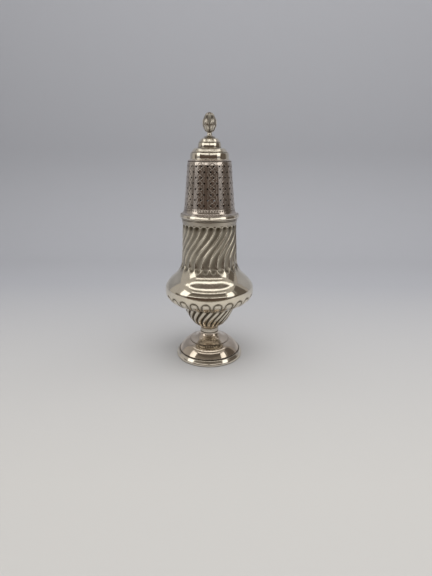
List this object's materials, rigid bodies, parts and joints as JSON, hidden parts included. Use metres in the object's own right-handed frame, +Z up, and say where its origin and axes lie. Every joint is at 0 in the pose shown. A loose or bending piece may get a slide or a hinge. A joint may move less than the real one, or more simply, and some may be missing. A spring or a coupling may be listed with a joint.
{
  "type": "salt shaker",
  "caption": "Footed silver salt shaker with a spiral fluted neck, a lobed round belly and a tall pierced lift-off cover topped by a bud finial.",
  "frame": {"origin": "centre of the foot's underside, on the surface the shaker stands on", "axes": "+Z up along the body's axis towards the finial, -Y towards the viewer of the picture, +X to that viewer's right"},
  "size_m": [0.0486, 0.0486, 0.13],
  "materials": {
    "body_silver": "polished silver with a warm tone, tarnished in the recesses",
    "plain_silver": "bright polished silver of the plain bands and mouldings",
    "cover_silver": "polished silver, pierced and engraved, dark in the engraving",
    "cast_silver": "cast and chased silver, dark between the leaves",
    "inner_silver": "dull silver of the hidden inner fittings"
  },
  "bodies": {
    "shaker_body": {"foot_rim": "plain_silver", "foot_dome": "body_silver", "stem_collar": "plain_silver", "lower_bowl": "body_silver", "upper_body": "body_silver", "neck_collar": "plain_silver"},
    "cover": {"cover_sleeve": "inner_silver", "cover_girdle": "plain_silver", "cover_wall": "cover_silver", "cover_cap": "body_silver", "finial_seat": "cast_silver", "finial": "cast_silver", "finial_nut": "inner_silver"}
  },
  "joints": [
    {"name": "cover_lift", "type": "slide", "parent": "shaker_body", "child": "cover", "axis": [0, 0, 1], "range_m": [0, 0.04]}
  ]
}
